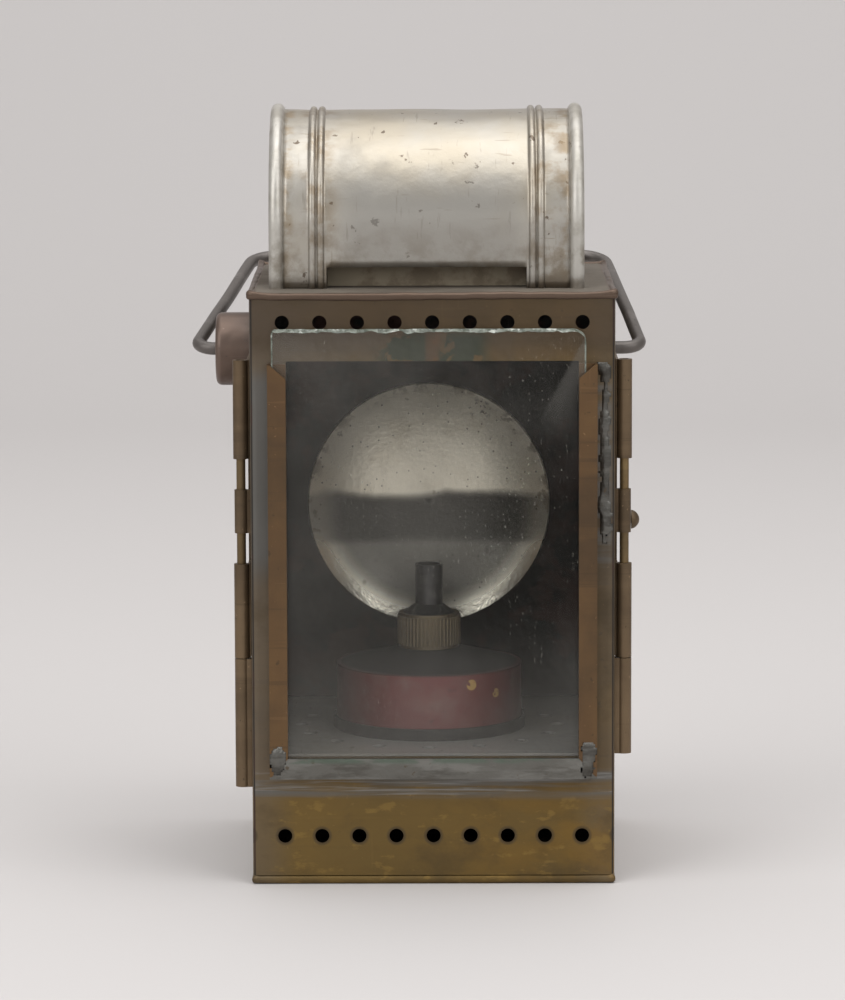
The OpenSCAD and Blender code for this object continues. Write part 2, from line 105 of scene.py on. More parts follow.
def add_floor():
    profile = [(FLOOR_FRONT_Y, 0)]
    for i in range(BACKDROP_STEPS + 1):
        a = math.pi / 2 * i / BACKDROP_STEPS
        profile.append((FLOOR_BACK_Y + BACKDROP_R * math.sin(a), BACKDROP_R * (1 - math.cos(a))))
    profile.append((FLOOR_BACK_Y + BACKDROP_R, BACKDROP_TOP))
    bm = bmesh.new()
    rows = [[bm.verts.new((x, y, z)) for x in (-FLOOR_HALF_W, FLOOR_HALF_W)] for y, z in profile]
    for low, high in zip(rows, rows[1:]):
        bm.faces.new((low[0], low[1], high[1], high[0]))
    floor = mesh_object("floor", bm, smooth=True)
    material = bpy.data.materials.new("floor")
    material.use_nodes = True
    shader = material.node_tree.nodes["Principled BSDF"]
    shader.inputs["Base Color"].default_value = FLOOR_COLOUR
    shader.inputs["Roughness"].default_value = FLOOR_ROUGHNESS
    floor.data.materials.append(material)


def add_world():
    world = bpy.data.worlds.new("studio")
    world.use_nodes = True
    sky = world.node_tree.nodes["Background"]
    sky.inputs["Color"].default_value = WORLD_COLOUR
    sky.inputs["Strength"].default_value = WORLD_STRENGTH
    scene.world = world


def add_lamp(name, place, target, size, power):
    data = bpy.data.lights.new(name, "AREA")
    data.shape = "RECTANGLE"
    data.size, data.size_y = size
    data.energy = power
    lamp = bpy.data.objects.new(name, data)
    lamp.location = place
    lamp.rotation_euler = (Vector(target) - Vector(place)).to_track_quat("-Z", "Y").to_euler()
    scene.collection.objects.link(lamp)


def mesh_object(name, bm, smooth=False):
    """Turns a bmesh into a linked object of that name."""
    bmesh.ops.recalc_face_normals(bm, faces=bm.faces)
    mesh = bpy.data.meshes.new(name)
    bm.to_mesh(mesh)
    bm.free()
    for face in mesh.polygons:
        face.use_smooth = smooth
    made = bpy.data.objects.new(name, mesh)
    scene.collection.objects.link(made)
    return made


# Finishes
VENT_PITCH = 0.0123
VENT_Z = 0.0163
VENT_GRIME_R = (0.0036, 0.0026)
VENT_SHEET_Y = (-0.050, -0.053)
DOT_CORE = 0.6
NOISE_ROUGHNESS = 0.6
SOOT = (0.016, 0.015, 0.014)
SOOT_ROUGHNESS = 0.85


class Finish:
    """A principled material that is built up from named layers."""

    def __init__(self, name, colour, metallic, roughness):
        self.material = bpy.data.materials.new(name)
        self.material.use_nodes = True
        self.tree = self.material.node_tree
        self.shader = self.tree.nodes["Principled BSDF"]
        self.shader.inputs["Base Color"].default_value = (*colour, 1)
        self.shader.inputs["Metallic"].default_value = metallic
        self.shader.inputs["Roughness"].default_value = roughness
        self.place = self.tree.nodes.new("ShaderNodeTexCoord").outputs["Object"]
        self.colour = None
        self.numbers = {}
        self.height = None

    def link(self, source, target):
        self.tree.links.new(source, target)

    def noise(self, scale, detail=4, stretch=(1, 1, 1), seed=0):
        """Noise of that many features a metre, packed closer along an axis by its stretch."""
        mapping = self.tree.nodes.new("ShaderNodeMapping")
        mapping.inputs["Scale"].default_value = stretch
        mapping.inputs["Location"].default_value = (seed, seed * 0.7, seed * 1.3)
        self.link(self.place, mapping.inputs["Vector"])
        node = self.tree.nodes.new("ShaderNodeTexNoise")
        node.inputs["Scale"].default_value = scale
        node.inputs["Detail"].default_value = detail
        node.inputs["Roughness"].default_value = NOISE_ROUGHNESS
        self.link(mapping.outputs[0], node.inputs["Vector"])
        return node.outputs["Fac"]

    def ramp(self, source, low, high, start=0, end=1):
        """Start at low and before it, end at high and past it."""
        node = self.tree.nodes.new("ShaderNodeMapRange")
        node.interpolation_type = "SMOOTHSTEP"
        node.inputs["From Min"].default_value = low
        node.inputs["From Max"].default_value = high
        node.inputs["To Min"].default_value = start
        node.inputs["To Max"].default_value = end
        self.link(source, node.inputs["Value"])
        return node.outputs["Result"]

    def clouds(self, low, high, scale, detail=4, stretch=(1, 1, 1), seed=0):
        """Patches of noise: 0 where the noise is under low, 1 where it is over high."""
        return self.ramp(self.noise(scale, detail, stretch, seed), low, high)

    def math(self, operation, a, b=None):
        """One sum of two sockets, or of a socket and a number."""
        node = self.tree.nodes.new("ShaderNodeMath")
        node.operation = operation
        self.link(a, node.inputs[0])
        if isinstance(b, (int, float)):
            node.inputs[1].default_value = b
        elif b is not None:
            self.link(b, node.inputs[1])
        return node.outputs[0]

    def times(self, first, *others):
        """The product of masks and numbers, a mask first."""
        for other in others:
            first = self.math("MULTIPLY", first, other)
        return first

    def axes(self):
        """The place in the frame, as one socket for each axis."""
        node = self.tree.nodes.new("ShaderNodeSeparateXYZ")
        self.link(self.place, node.inputs[0])
        return node.outputs

    def along(self, axis, low, high, both=False):
        """0 at low and 1 at high along an axis of the frame, in metres, or to both sides alike."""
        value = self.axes()["XYZ".index(axis)]
        if both:
            value = self.math("ABSOLUTE", value)
        return self.ramp(value, low, high)

    def between(self, axis, rise, fall):
        """1 on a stretch of an axis, from 0 over the pair of places before it and after it."""
        return self.times(self.along(axis, *rise), self.along(axis, *fall))

    def away(self, middle, low, high):
        """0 at low and 1 at high, by the distance from a point."""
        node = self.tree.nodes.new("ShaderNodeVectorMath")
        node.operation = "DISTANCE"
        self.link(self.place, node.inputs[0])
        node.inputs[1].default_value = middle
        return self.ramp(node.outputs["Value"], low, high)

    def spot(self, middle, radius, soft):
        """1 inside a ball round a point, fading to 0 over a soft edge."""
        return self.away(middle, radius + soft, radius)

    def slope(self, way, low, high):
        """0 at low and 1 at high along a direction of the frame, in metres."""
        node = self.tree.nodes.new("ShaderNodeVectorMath")
        node.operation = "DOT_PRODUCT"
        self.link(self.place, node.inputs[0])
        node.inputs[1].default_value = way
        return self.ramp(node.outputs["Value"], low, high)

    def dots(self, scale, size, share, seed):
        """1 at round specks seen from the front: so many places a metre, their size in parts of the
        spacing, and the share of the places that are filled."""
        x, _, z = self.axes()
        flat = self.tree.nodes.new("ShaderNodeCombineXYZ")
        self.link(self.math("ADD", x, seed), flat.inputs[0])
        self.link(self.math("ADD", z, seed), flat.inputs[1])
        node = self.tree.nodes.new("ShaderNodeTexVoronoi")
        node.voronoi_dimensions = "2D"
        node.inputs["Scale"].default_value = scale
        self.link(flat.outputs[0], node.inputs["Vector"])
        colour = self.tree.nodes.new("ShaderNodeSeparateColor")
        self.link(node.outputs["Color"], colour.inputs[0])
        filled = self.math("LESS_THAN", colour.outputs[0], share)
        return self.times(self.ramp(node.outputs["Distance"], size, size * DOT_CORE), filled)

    def near_vents(self):
        """1 at the rims of the air holes in the lower row, fading out round them."""
        x, _, z = self.axes()
        wrap = self.tree.nodes.new("ShaderNodeMath")
        wrap.operation = "WRAP"
        self.link(x, wrap.inputs[0])
        wrap.inputs[1].default_value = VENT_PITCH / 2
        wrap.inputs[2].default_value = -VENT_PITCH / 2
        across = wrap.outputs[0]
        rise = self.math("SUBTRACT", z, VENT_Z)
        off_middle = self.math("SQRT", self.math("ADD", self.times(across, across), self.times(rise, rise)))
        return self.times(self.ramp(off_middle, *VENT_GRIME_R), self.along("Y", *VENT_SHEET_Y))

    def off_arch(self, level, low, high):
        """0 at low and 1 at high, by the distance from an arch's axis along X at that level."""
        _, y, z = self.axes()
        rise = self.math("MAXIMUM", self.math("SUBTRACT", z, level), 0)
        square = self.math("ADD", self.times(rise, rise), self.times(y, y))
        return self.ramp(self.math("SQRT", square), low, high)

    def tint(self, mask, colour, share=1):
        """Lays a share of a colour over what is there, by the mask."""
        if share < 1:
            mask = self.times(mask, share)
        node = self.tree.nodes.new("ShaderNodeMix")
        node.data_type = "RGBA"
        self.link(mask, node.inputs["Factor"])
        if self.colour is None:
            node.inputs[6].default_value = self.shader.inputs["Base Color"].default_value
        else:
            self.link(self.colour, node.inputs[6])
        node.inputs[7].default_value = (*colour, 1)
        self.colour = node.outputs[2]

    def shift(self, socket, mask, value):
        """Moves a number of the shader towards a value, by the mask."""
        node = self.tree.nodes.new("ShaderNodeMix")
        self.link(mask, node.inputs["Factor"])
        if socket in self.numbers:
            self.link(self.numbers[socket], node.inputs[2])
        else:
            node.inputs[2].default_value = self.shader.inputs[socket].default_value
        node.inputs[3].default_value = value
        self.numbers[socket] = node.outputs[0]

    def bump(self, source, depth):
        """Adds relief of that depth in metres."""
        node = self.tree.nodes.new("ShaderNodeBump")
        node.inputs["Distance"].default_value = depth
        self.link(source, node.inputs["Height"])
        if self.height is not None:
            self.link(self.height, node.inputs["Normal"])
        self.height = node.outputs[0]

    def soot(self, mask):
        """Lays matt lamp soot over what is there, by the mask."""
        self.tint(mask, SOOT)
        self.shift("Metallic", mask, 0)
        self.shift("Roughness", mask, SOOT_ROUGHNESS)

    def done(self):
        if self.colour is not None:
            self.link(self.colour, self.shader.inputs["Base Color"])
        for socket, output in self.numbers.items():
            self.link(output, self.shader.inputs[socket])
        if self.height is not None:
            self.link(self.height, self.shader.inputs["Normal"])
        return self.material


def times_colour(colour, factor):
    return tuple(factor * c for c in colour)


def aged_sheet(name, colour, warm, dark, roughness, metallic=0.6):
    """Old brass or copper sheet: blotches of patina, rolling streaks, pits and rubbed grain."""
    finish = Finish(name, colour, metallic, roughness)
    finish.shader.inputs["Specular IOR Level"].default_value = 0.25
    finish.tint(finish.clouds(0.42, 0.66, 28, 5), warm, 0.75)
    shade = finish.clouds(0.46, 0.70, 16, 6, seed=3.1)
    finish.tint(shade, dark, 0.7)
    streaks = finish.clouds(0.48, 0.74, 60, 4, (0.25, 0.25, 3.0), seed=5.7)
    finish.tint(streaks, warm, 0.4)
    rolling = finish.clouds(0.60, 0.68, 130, 3, (0.1, 0.1, 4.0), seed=7.9)
    finish.tint(rolling, dark, 0.35)
    pits = finish.clouds(0.68, 0.74, 420, 2, seed=8.2)
    finish.tint(pits, dark, 0.7)
    glints = finish.clouds(0.70, 0.76, 650, 2, seed=4.6)
    finish.tint(glints, times_colour(colour, 2.4), 0.6)
    upright = finish.clouds(0.69, 0.72, 200, 2, (1.6, 1.6, 0.08), seed=2.3)
    level = finish.clouds(0.69, 0.72, 170, 2, (0.10, 0.10, 2.0), seed=9.3)
    for scratches in (upright, level):
        finish.tint(scratches, times_colour(colour, 1.6), 0.3)
    finish.shift("Roughness", shade, min(1, roughness + 0.2))
    finish.bump(finish.noise(45, 3, seed=2.0), 0.0008)
    finish.bump(finish.noise(500, 5, (1, 1, 0.6), seed=6.0), 0.00003)
    return finish


# Case: colours of its layers and their places in metres, each as the pair where a layer starts and is full
CASE_BRASS = (0.112, 0.076, 0.034)
CASE_WARM = (0.165, 0.103, 0.036)
CASE_DARK = (0.070, 0.051, 0.031)
GREY_FILM = (0.135, 0.112, 0.088)
GOLD_STAIN = (0.200, 0.115, 0.027)
LOW_BRASS = (0.165, 0.106, 0.032)
RUBBED_BRASS = (0.26, 0.165, 0.048)
SOLDER_FILM = (0.130, 0.126, 0.117)
PALE_SOLDER = (0.25, 0.245, 0.23)
DARK_BAND = (0.072, 0.052, 0.036)
DARK_STAIN = (0.070, 0.050, 0.027)
VENT_GRIME = (0.060, 0.046, 0.030)
GREEN_PATINA = (0.038, 0.048, 0.032)
RUST_DRIP = (0.14, 0.066, 0.032)
INNER_RUST = (0.052, 0.026, 0.020)
FRONT_Y = (-0.0535, -0.0545)
LOW_Z = (0.040, 0.024)
EDGE_X = (0.044, 0.058)
LEFT_X = (-0.02, -0.05)
RIGHT_X = (-0.02, 0.05)
ABOVE_SILL_Z = (0.030, 0.040)
OVER_WINDOW_Z = (0.172, 0.182)
SILL_FILM_Z = ((0.0275, 0.0315), (0.0390, 0.0370))
SIDE_FILM_Z = ((0.098, 0.112), (0.174, 0.166))
LEFT_FILM_X = ((-0.0599, -0.0588), (-0.0530, -0.0538))
RIGHT_FILM_X = ((0.0525, 0.0540), (0.0596, 0.0580))
PATINA_Z = ((0.172, 0.1745), (0.1865, 0.1815))
PATINA_X = (0.021, 0.014)
DRIP_X = (0.0032, 0.0012)
INSIDE_X = (0.0597, 0.0594)
INSIDE_Y = ((-0.0546, -0.0543), (0.0547, 0.0545))


def case_finish():
    """Brass of the case: grey at its edges, dark over the window, golden below it, sooty inside."""
    finish = aged_sheet("case_brass", CASE_BRASS, CASE_WARM, CASE_DARK, 0.42)
    patchy = finish.clouds(0.36, 0.62, 40, 5, (1, 1, 2), seed=1.7)
    brushed = finish.clouds(0.38, 0.58, 90, 5, (0.12, 1, 3.0), seed=4.9)
    streaks = finish.clouds(0.54, 0.64, 150, 5, (0.10, 1, 3.5), seed=2.2)
    low = finish.along("Z", *LOW_Z)
    front = finish.along("Y", *FRONT_Y)
    finish.tint(low, LOW_BRASS, 0.7)
    finish.tint(finish.along("X", *EDGE_X, both=True), GREY_FILM, 0.45)
    finish.tint(finish.times(finish.along("X", *LEFT_X), finish.along("Z", *ABOVE_SILL_Z)), GREY_FILM, 0.5)
    finish.tint(finish.along("Z", *OVER_WINDOW_Z), DARK_BAND, 0.7)
    finish.tint(finish.times(finish.along("X", *RIGHT_X), low, patchy), GOLD_STAIN, 0.6)
    stains = finish.clouds(0.44, 0.74, 80, 6, (0.8, 0.8, 1.2), seed=5.5)
    finish.tint(stains, DARK_STAIN, 0.5)
    rubbed = finish.clouds(0.56, 0.66, 140, 5, (0.7, 1, 1.5), seed=8.1)
    finish.tint(finish.times(rubbed, low), RUBBED_BRASS, 0.5)
    finish.tint(finish.near_vents(), VENT_GRIME, 0.7)
    below = finish.times(finish.between("Z", *SILL_FILM_Z), front)
    finish.tint(finish.times(below, brushed), SOLDER_FILM, 0.9)
    finish.tint(finish.times(below, streaks), PALE_SOLDER, 0.75)
    beside = finish.times(finish.between("Z", *SIDE_FILM_Z), front)
    finish.tint(finish.times(finish.between("X", *LEFT_FILM_X), beside), SOLDER_FILM, 0.9)
    finish.tint(finish.times(finish.between("X", *RIGHT_FILM_X), beside, brushed), SOLDER_FILM, 0.85)
    over = finish.times(finish.between("Z", *PATINA_Z), front)
    flakes = finish.clouds(0.45, 0.50, 130, 4, seed=3.4)
    finish.tint(finish.times(finish.along("X", *PATINA_X, both=True), over, flakes), GREEN_PATINA, 0.95)
    finish.tint(finish.times(finish.along("X", *DRIP_X, both=True), over, patchy), RUST_DRIP, 0.5)
    inside = finish.times(finish.along("X", *INSIDE_X, both=True), finish.between("Y", *INSIDE_Y))
    finish.soot(inside)
    rust = finish.clouds(0.48, 0.62, 55, 6, seed=7.7)
    finish.tint(finish.times(inside, rust), INNER_RUST, 0.85)
    return finish.done()


# Tin of the hood, the reflector and the shelf
TIN_SCRATCH = (0.26, 0.23, 0.19)
TIN_STAIN = (0.24, 0.20, 0.15)
TIN_PIT = (0.10, 0.07, 0.05)
TIN_WARMTH = (0.95, 0.86, 0.70)


def tin_finish(name, colour, roughness, wear, metallic=0.9):
    """Tinned sheet: warm and cool clouds, rust-brown pits, fine scratches."""
    finish = Finish(name, colour, metallic, roughness)
    warm = tuple(c * f for c, f in zip(colour, TIN_WARMTH))
    finish.tint(finish.clouds(0.45, 0.70, 18, 4, seed=1.5), warm, 0.6 * wear)
    dull = finish.clouds(0.50, 0.75, 30, 5, seed=4.4)
    finish.tint(dull, times_colour(colour, 0.62), 0.6 * wear)
    scratches = finish.clouds(0.63, 0.69, 150, 3, (3, 0.4, 0.4), seed=9.0)
    finish.tint(scratches, TIN_SCRATCH, 0.5 * wear)
    stains = finish.clouds(0.66, 0.71, 150, 3, (0.3, 3, 3), seed=2.9)
    finish.tint(stains, TIN_STAIN, 0.5 * wear)
    pits = finish.clouds(0.68, 0.72, 230, 3, seed=7.3)
    finish.tint(pits, TIN_PIT, 0.85 * wear)
    finish.shift("Roughness", dull, min(1, roughness + 0.2))
    finish.bump(finish.noise(35, 3, seed=3.3), 0.0008 * wear)
    finish.bump(finish.noise(700, 2, seed=5.0), 0.00006)
    return finish


# Hood: places and colours of its rims, seams, beads, stains and painted shade
HOOD_TIN = (0.43, 0.405, 0.362)
HOOD_X = -0.0018
HOOD_HALF_W = 0.0466
HOOD_RIM_STEP = 0.0010
HOOD_SEAM_REACH = 0.004
HOOD_SEAM_LAP = 0.0012
HOOD_ROLL_DEPTH = (0.0036, 0.0026)
HOOD_BEADS_X = ((0.028, 0.037), (0.046, 0.040))
HOOD_SHADE_Z = (0.246, 0.216)
HOOD_SHADE_X = (0.034, 0.024)
HOOD_LOW_Z = (0.222, 0.202)
HOOD_FOOT_Z = (0.202, 0.198)
RIM_TIN = (0.54, 0.52, 0.475)
RIM_DIRT = (0.30, 0.27, 0.22)
SEAM_DIRT = (0.27, 0.20, 0.12)
SCUFF = (0.085, 0.066, 0.05)
BEAD_DIRT = (0.24, 0.18, 0.115)
# Painted shade on the lower front of the arch, where it turns from the light above
HOOD_PAINTED_SHADE = (0.29, 0.276, 0.25)
# Partly dirt, partly painted shade, in patches towards the lower edge
LOW_DIRT_AND_SHADE = (0.21, 0.18, 0.14)
HOOD_FOOT_DARK = (0.13, 0.105, 0.08)


def hood_finish():
    """Tin of the hood: bright rims, scuffs, brown stains beside its beads, painted shade on the lower front
    of its arch, patchy dirt and painted shade along its lower edges, and a darker foot.
    """
    finish = tin_finish("hood_tin", HOOD_TIN, 0.40, 1.0, 0.85)
    patchy = finish.clouds(0.42, 0.64, 110, 6, (1, 1.5, 1), seed=6.6)
    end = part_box("hood_end_left")[1]
    roll = finish.off_arch(end[2] - end[1], *(end[1] - depth for depth in HOOD_ROLL_DEPTH))
    for side in (-1, 1):
        edge = HOOD_X + side * HOOD_HALF_W
        rims = finish.times(finish.along("X", edge, edge + side * HOOD_RIM_STEP), roll)
        finish.tint(rims, RIM_TIN, 0.7)
        finish.tint(finish.times(rims, patchy), RIM_DIRT, 0.5)
        finish.shift("Metallic", rims, 0.6)
        rise = (edge - side * HOOD_SEAM_REACH, edge - side * HOOD_RIM_STEP)
        fall = (edge + side * HOOD_SEAM_LAP, edge)
        finish.tint(finish.times(finish.between("X", rise, fall), patchy), SEAM_DIRT, 0.7)
    finish.tint(finish.clouds(0.68, 0.72, 120, 6, (1, 1, 1.4), seed=11.3), SCUFF, 0.85)
    rise, fall = HOOD_BEADS_X
    beads = finish.times(finish.along("X", *rise, both=True), finish.along("X", *fall, both=True))
    finish.tint(finish.times(beads, patchy), BEAD_DIRT, 0.7)
    # Painted shade: the middle of the arch darkens from its crown down to where it faces forward
    shaded_front = finish.times(finish.along("Z", *HOOD_SHADE_Z), finish.along("X", *HOOD_SHADE_X, both=True))
    finish.tint(shaded_front, HOOD_PAINTED_SHADE, 0.55)
    # Partly dirt, partly painted shade: patches darken the hood towards its lower edge
    finish.tint(finish.times(finish.along("Z", *HOOD_LOW_Z), patchy), LOW_DIRT_AND_SHADE, 0.6)
    # Darker along the foot of the hood, next to the roof
    finish.tint(finish.along("Z", *HOOD_FOOT_Z), HOOD_FOOT_DARK, 0.6)
    return finish.done()


# Reflector: its middle, its worn places, its painted reflection and their colours
DISH_TIN = (0.97, 0.92, 0.76)
DISH = Vector((-0.0014, 0.038, 0.1151))
DISH_PITS = (0.0166, 0.040, 0.1485)
DISH_HEART_RISE = 0.010
DISH_REFLECTION_DROP = 0.002
DISH_EDGE_R = (0.0365, 0.0425)
DISH_EDGE_Z = (0.105, 0.118)
DISH_RIM_R = (0.0345, 0.0415)
DISH_RIM_Z = (0.108, 0.096)
BAND_TOP_Z = (0.1240, 0.1195)
BAND_FOOT_Z = (0.0990, 0.1030)
BAND_X = (0.042, 0.022)
BAND_WAVE = 0.010
DULL_DISH = (0.66, 0.59, 0.44)
DISH_SPECK = (0.06, 0.05, 0.045)
DISH_BLOT = (0.20, 0.155, 0.095)
DISH_BROWN = (0.22, 0.17, 0.10)
DISH_PIT = (0.05, 0.04, 0.032)
DISH_HEART = (0.55, 0.52, 0.43)
# Painted reflection: dark colours that stand for the room mirrored in the dish
DISH_REFLECTED_DARK = (0.090, 0.087, 0.077)
DISH_REFLECTED_BAND = (0.055, 0.052, 0.044)
DISH_RIM = (0.97, 0.93, 0.78)


def reflector_finish():
    """Bright tin of the reflector, spotted and dulled by heat, with a painted reflection of the room: a
    dark band and a darker lower part.
    """
    finish = tin_finish("reflector_tin", DISH_TIN, 0.29, 0.25, 0.78)
    up = Vector((0, 0, 1))
    finish.tint(finish.clouds(0.50, 0.70, 70, 6, seed=5.3), DULL_DISH, 0.5)
    finish.tint(finish.dots(200, 0.075, 0.5, 3.7), DISH_SPECK, 0.8)
    finish.tint(finish.clouds(0.64, 0.70, 150, 5, seed=8.4), DISH_BLOT, 0.6)
    edge = finish.times(finish.away(DISH, *DISH_EDGE_R), finish.clouds(0.46, 0.60, 180, 5, seed=1.9))
    finish.tint(finish.times(edge, finish.along("Z", *DISH_EDGE_Z)), DISH_BROWN, 0.7)
    pits = finish.clouds(0.54, 0.60, 520, 3, seed=6.7)
    finish.tint(finish.times(finish.spot(DISH_PITS, 0.0022, 0.004), pits), DISH_PIT, 0.95)
    finish.tint(finish.spot(DISH + up * DISH_HEART_RISE, 0.006, 0.026), DISH_HEART, 0.6)
    # Painted reflection: a wavy dark band across the dish and a darker lower part stand for the room
    # mirrored in it
    wave = finish.times(finish.noise(26, 3, (1, 1, 0.3), seed=4.2), BAND_WAVE)
    under = finish.ramp(finish.math("ADD", finish.axes()[2], wave), *BAND_TOP_Z)
    reflected_low = finish.times(under, finish.spot(DISH - up * DISH_REFLECTION_DROP, 0.030, 0.010))
    finish.tint(reflected_low, DISH_REFLECTED_DARK, 0.9)
    reflected_band = finish.times(under, finish.along("Z", *BAND_FOOT_Z))
    finish.tint(reflected_band, DISH_REFLECTED_BAND, 0.6)
    finish.tint(finish.times(reflected_band, finish.along("X", *BAND_X, both=True)), DISH_REFLECTED_BAND, 0.8)
    finish.shift("Roughness", under, 0.34)
    rim = finish.times(finish.away(DISH, *DISH_RIM_R), finish.along("Z", *DISH_RIM_Z))
    finish.tint(rim, DISH_RIM, 0.9)
    finish.shift("Metallic", rim, 0.95)
    finish.shift("Roughness", rim, 0.19)
    return finish.done()


# Solder as its colour, its pale smears and its dark ones
SOLDER = ((0.080, 0.076, 0.067), (0.150, 0.146, 0.132), (0.036, 0.031, 0.025))
SILL = ((0.135, 0.130, 0.116), (0.21, 0.205, 0.188), (0.070, 0.064, 0.054))
SOLDER_PIT = (0.09, 0.065, 0.04)
VERDIGRIS = (0.105, 0.135, 0.105)
VERDIGRIS_DEPTH = (0.0022, 0.0008)


def solder_finish(name, colour, pale, dark):
    """Grey solder, brushed on: pale and dark smears."""
    finish = Finish(name, colour, 0.7, 0.36)
    finish.tint(finish.clouds(0.46, 0.62, 70, 5, (0.5, 1, 3.0), seed=2.6), pale, 0.7)
    finish.tint(finish.clouds(0.50, 0.68, 150, 5, (0.5, 1, 2), seed=6.1), dark, 0.6)
    finish.tint(finish.clouds(0.64, 0.70, 260, 3, seed=8.8), SOLDER_PIT, 0.8)
    finish.bump(finish.noise(160, 4, seed=1.2), 0.0007)
    finish.bump(finish.noise(600, 3, seed=5.2), 0.0002)
    return finish


def sill_finish():
    """Solder of the sill, with verdigris along its upper edge."""
    finish = solder_finish("soldered_sill", *SILL)
    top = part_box("glass_sill")[1][2]
    edge = finish.along("Z", *(top - depth for depth in VERDIGRIS_DEPTH))
    green = finish.clouds(0.40, 0.56, 200, 4, (0.4, 1, 1), seed=3.8)
    finish.tint(finish.times(edge, green), VERDIGRIS, 0.8)
    return finish.done()


def plain_finish(name, colour, worn, metallic, roughness):
    """One colour with rubbed clouds, specks and grain."""
    finish = Finish(name, colour, metallic, roughness)
    rubbed = finish.clouds(0.48, 0.70, 70, 4, seed=2.2)
    finish.tint(rubbed, worn, 0.8)
    finish.tint(finish.clouds(0.66, 0.72, 500, 2, seed=6.4), times_colour(colour, 0.4), 0.7)
    finish.shift("Roughness", rubbed, max(0.2, roughness - 0.1))
    finish.bump(finish.noise(380, 3, seed=4.8), 0.00008)
    return finish


# Smoked sheet and fount
SMOKED_WORN = (0.035, 0.031, 0.027)
DUCT_Z = (0.190, 0.196)
DUCT_TIN = (0.36, 0.30, 0.21)
DUCT_DUST = (0.19, 0.145, 0.095)
FOUNT_RED = (0.13, 0.026, 0.024)
FOUNT_WORN = (0.16, 0.055, 0.045)
FOUNT_DUST = (0.16, 0.12, 0.10)
FOUNT_TOP_Z = (0.0650, 0.0662)
FOUNT_CHIPS = (((0.0128, -0.0279, 0.0622), 0.00168), ((0.0210, -0.0220, 0.0585), 0.00140))
CHIP_SOFT = 0.0003
CHIP_BRASS = (0.42, 0.26, 0.08)


def smoked_finish():
    """Smoked sheet: black in the lamp room, dusty brown above the roof."""
    finish = plain_finish("sooty_sheet", SOOT, SMOKED_WORN, 0.1, 0.7)
    above = finish.along("Z", *DUCT_Z)
    finish.tint(above, DUCT_TIN, 0.9)
    dusty = finish.clouds(0.42, 0.62, 150, 5, seed=3.9)
    finish.tint(finish.times(above, dusty), DUCT_DUST, 0.8)
    return finish.done()


def fount_finish():
    """Dark red paint, dusty, sooty on top, with two ragged chips down to the brass."""
    finish = plain_finish("fount_red", FOUNT_RED, FOUNT_WORN, 0.0, 0.42)
    finish.tint(finish.clouds(0.45, 0.75, 90, 5, seed=9.5), FOUNT_DUST, 0.45)
    finish.soot(finish.along("Z", *FOUNT_TOP_Z))
    ragged = finish.clouds(0.40, 0.46, 600, 3, seed=3.6)
    for middle, radius in FOUNT_CHIPS:
        finish.tint(finish.times(finish.spot(middle, radius, CHIP_SOFT), ragged), CHIP_BRASS)
    return finish.done()


# Glass: a thin film, thicker low down and at the left, a slanting streak at the right corner, and dust
GLASS_TINT = (0.265, 0.253, 0.228)
GLASS_IOR = 1.5
GLASS_BLEND = 0.06
FILM_RANGE = (0.02, 0.09)
LOW_HAZE_Z = (0.100, 0.045)
LOW_HAZE = 0.06
LEFT_HAZE_X = (0.020, -0.045)
LEFT_HAZE = 0.04
STREAK_OVER = (0.877, 0, -0.48)
STREAK_ALONG = (0.48, 0, 0.877)
STREAK_SHARP = (-0.0445, -0.0428)
STREAK_FADING = (-0.030, -0.0415)
STREAK_REACH = (0.146, 0.172)
STREAK_SHARE = 0.09
GRIT_SHARE = 0.05
DUST_SHARE = 0.36
GLASS_DUST = (0.38, 0.36, 0.30)
BROKEN_GLASS = (0.20, 0.22, 0.185)
BROKEN_SHADE = (0.075, 0.085, 0.065)
BROKEN_GLINT = (0.52, 0.54, 0.49)


def glass_finish():
    """Old window glass: clear, with a thin film of dust, fine specks and gloss at a slant."""
    finish = Finish("front_glass", GLASS_TINT, 0.0, 0.06)
    finish.shader.inputs["IOR"].default_value = GLASS_IOR
    slant = finish.tree.nodes.new("ShaderNodeLayerWeight")
    slant.inputs["Blend"].default_value = GLASS_BLEND
    # A slanting streak across the right corner, where the film is thicker
    streak = finish.times(finish.slope(STREAK_OVER, *STREAK_SHARP), finish.slope(STREAK_OVER, *STREAK_FADING))
    streak = finish.times(streak, finish.slope(STREAK_ALONG, *STREAK_REACH))
    grit = finish.clouds(0.56, 0.74, 800, 4, seed=2.7)
    film = finish.ramp(finish.noise(22, 5, seed=3.3), 0.35, 0.75, *FILM_RANGE)
    film = finish.math("ADD", film, finish.times(finish.along("Z", *LOW_HAZE_Z), LOW_HAZE))
    film = finish.math("ADD", film, finish.times(finish.along("X", *LEFT_HAZE_X), LEFT_HAZE))
    film = finish.math("ADD", film, finish.times(streak, STREAK_SHARE))
    film = finish.math("ADD", film, finish.times(grit, GRIT_SHARE))
    dust = finish.math("MAXIMUM", finish.dots(480, 0.095, 0.36, 1.1), finish.dots(170, 0.05, 0.10, 5.9))
    dust = finish.times(dust, finish.ramp(finish.noise(60, 5, seed=7.5), 0.40, 0.60, 0.25, 1))
    finish.tint(dust, GLASS_DUST)
    finish.shift("Roughness", dust, 0.7)
    cover = finish.math("MAXIMUM", slant.outputs["Facing"], film)
    finish.numbers["Alpha"] = finish.math("MAXIMUM", cover, finish.times(dust, DUST_SHARE))
    return finish.done()


